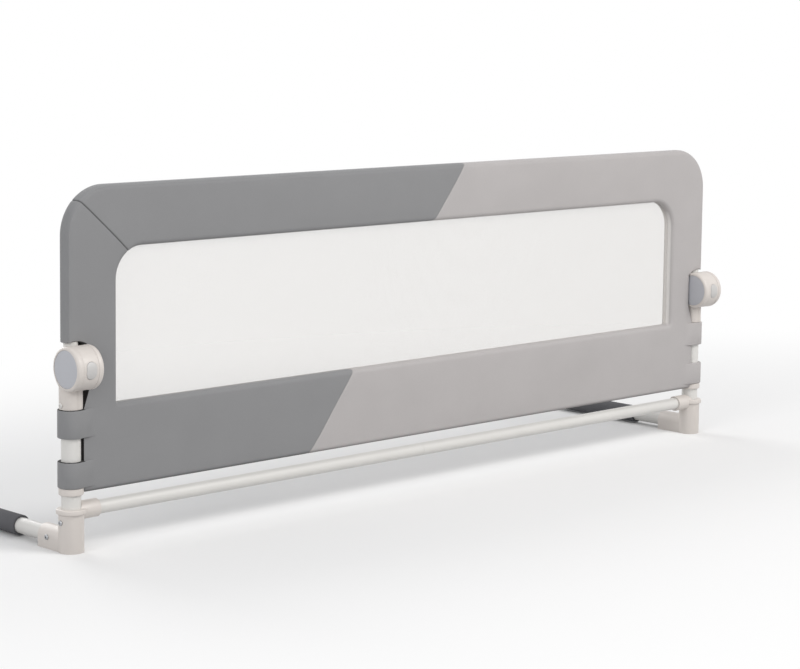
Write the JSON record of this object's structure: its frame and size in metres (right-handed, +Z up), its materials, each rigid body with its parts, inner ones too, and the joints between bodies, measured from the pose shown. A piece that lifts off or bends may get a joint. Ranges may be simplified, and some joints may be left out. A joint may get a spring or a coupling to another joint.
{
  "type": "folding bed guard rail",
  "caption": "Padded fabric rail on a steel tube frame with a net window, held by arms that go under a mattress, whose upper part folds outwards and down over side hubs.",
  "frame": {"origin": "on the level that the arms rest on, under the middle of the rail's length and of the depth from the buttons' front to the arms' end", "axes": "+X along the rail, +Y from the rail towards the ends of the arms, +Z up"},
  "size_m": [1.5236, 0.4346, 0.554],
  "materials": {
    "white_steel": "warm white powder coat, smooth, slight gloss",
    "white_plastic": "warm white moulded plastic, satin",
    "bluish_plastic": "pale bluish grey moulded plastic, satin",
    "zinc_steel": "zinc plated steel",
    "rubber": "matt dark grey rubber",
    "foam": "matt dark grey foam sleeve",
    "dark_fabric": "plain woven polyester over foam, mid grey",
    "light_fabric": "plain woven polyester over foam, warm light grey",
    "netting": "sheer white knitted net"
  },
  "bodies": {
    "base": {"lower_post_left": "white_steel", "lower_post_right": "white_steel", "arm_tube_left": "white_steel", "arm_tube_right": "white_steel", "crossbar_left": "white_steel", "crossbar_right": "white_steel", "hub_housing_outer_left": "white_plastic", "hub_housing_outer_right": "white_plastic", "hub_housing_inner_left": "white_plastic", "hub_housing_inner_right": "white_plastic", "post_collar_left": "white_plastic", "post_collar_right": "white_plastic", "foot_connector_left": "white_plastic", "foot_connector_right": "white_plastic", "hub_cap_outer_left": "bluish_plastic", "hub_cap_outer_right": "bluish_plastic", "hub_cap_inner_left": "bluish_plastic", "hub_cap_inner_right": "bluish_plastic", "pivot_bolt_left": "zinc_steel", "pivot_bolt_right": "zinc_steel", "pivot_nut_left": "zinc_steel", "pivot_nut_right": "zinc_steel", "housing_screw_left": "zinc_steel", "housing_screw_right": "zinc_steel", "post_screw_left": "zinc_steel", "post_screw_right": "zinc_steel", "arm_screw_left": "zinc_steel", "arm_screw_right": "zinc_steel", "crossbar_screw_left": "zinc_steel", "crossbar_screw_right": "zinc_steel", "crossbar_joint_screw": "zinc_steel", "arm_end_cap_left": "rubber", "arm_end_cap_right": "rubber", "arm_grip_left": "foam", "arm_grip_right": "foam", "cover_lower_dark": "dark_fabric", "cover_lower_light": "light_fabric", "mesh_lower": "netting"},
    "upper_frame": {"upper_tube_left": "white_steel", "upper_tube_right": "white_steel", "upper_tube_centre": "white_steel", "tube_screw_left": "zinc_steel", "tube_screw_right": "zinc_steel", "hub_core_left": "white_plastic", "hub_core_right": "white_plastic", "core_screw_left": "zinc_steel", "core_screw_right": "zinc_steel", "button_spring_left": "zinc_steel", "button_spring_right": "zinc_steel", "cover_upper_dark": "dark_fabric", "cover_upper_light": "light_fabric", "mesh_upper": "netting"},
    "button_left": {"release_button_left": "bluish_plastic", "lock_bar_left": "zinc_steel"},
    "button_right": {"release_button_right": "bluish_plastic", "lock_bar_right": "zinc_steel"}
  },
  "joints": [
    {"name": "rail_fold", "type": "hinge", "parent": "base", "child": "upper_frame", "pos_m": [0, -0.18275, 0.283], "axis": [1, 0, 0], "range_deg": [0, 180]},
    {"name": "button_left_press", "type": "slide", "parent": "upper_frame", "child": "button_left", "axis": [0, 1, 0], "range_m": [0, 0.004], "stiffness_N_per_m": 800, "springref_m": -0.001, "deforming": ["button_spring_left"]},
    {"name": "button_right_press", "type": "slide", "parent": "upper_frame", "child": "button_right", "axis": [0, 1, 0], "range_m": [0, 0.004], "stiffness_N_per_m": 800, "springref_m": -0.001, "deforming": ["button_spring_right"]}
  ]
}
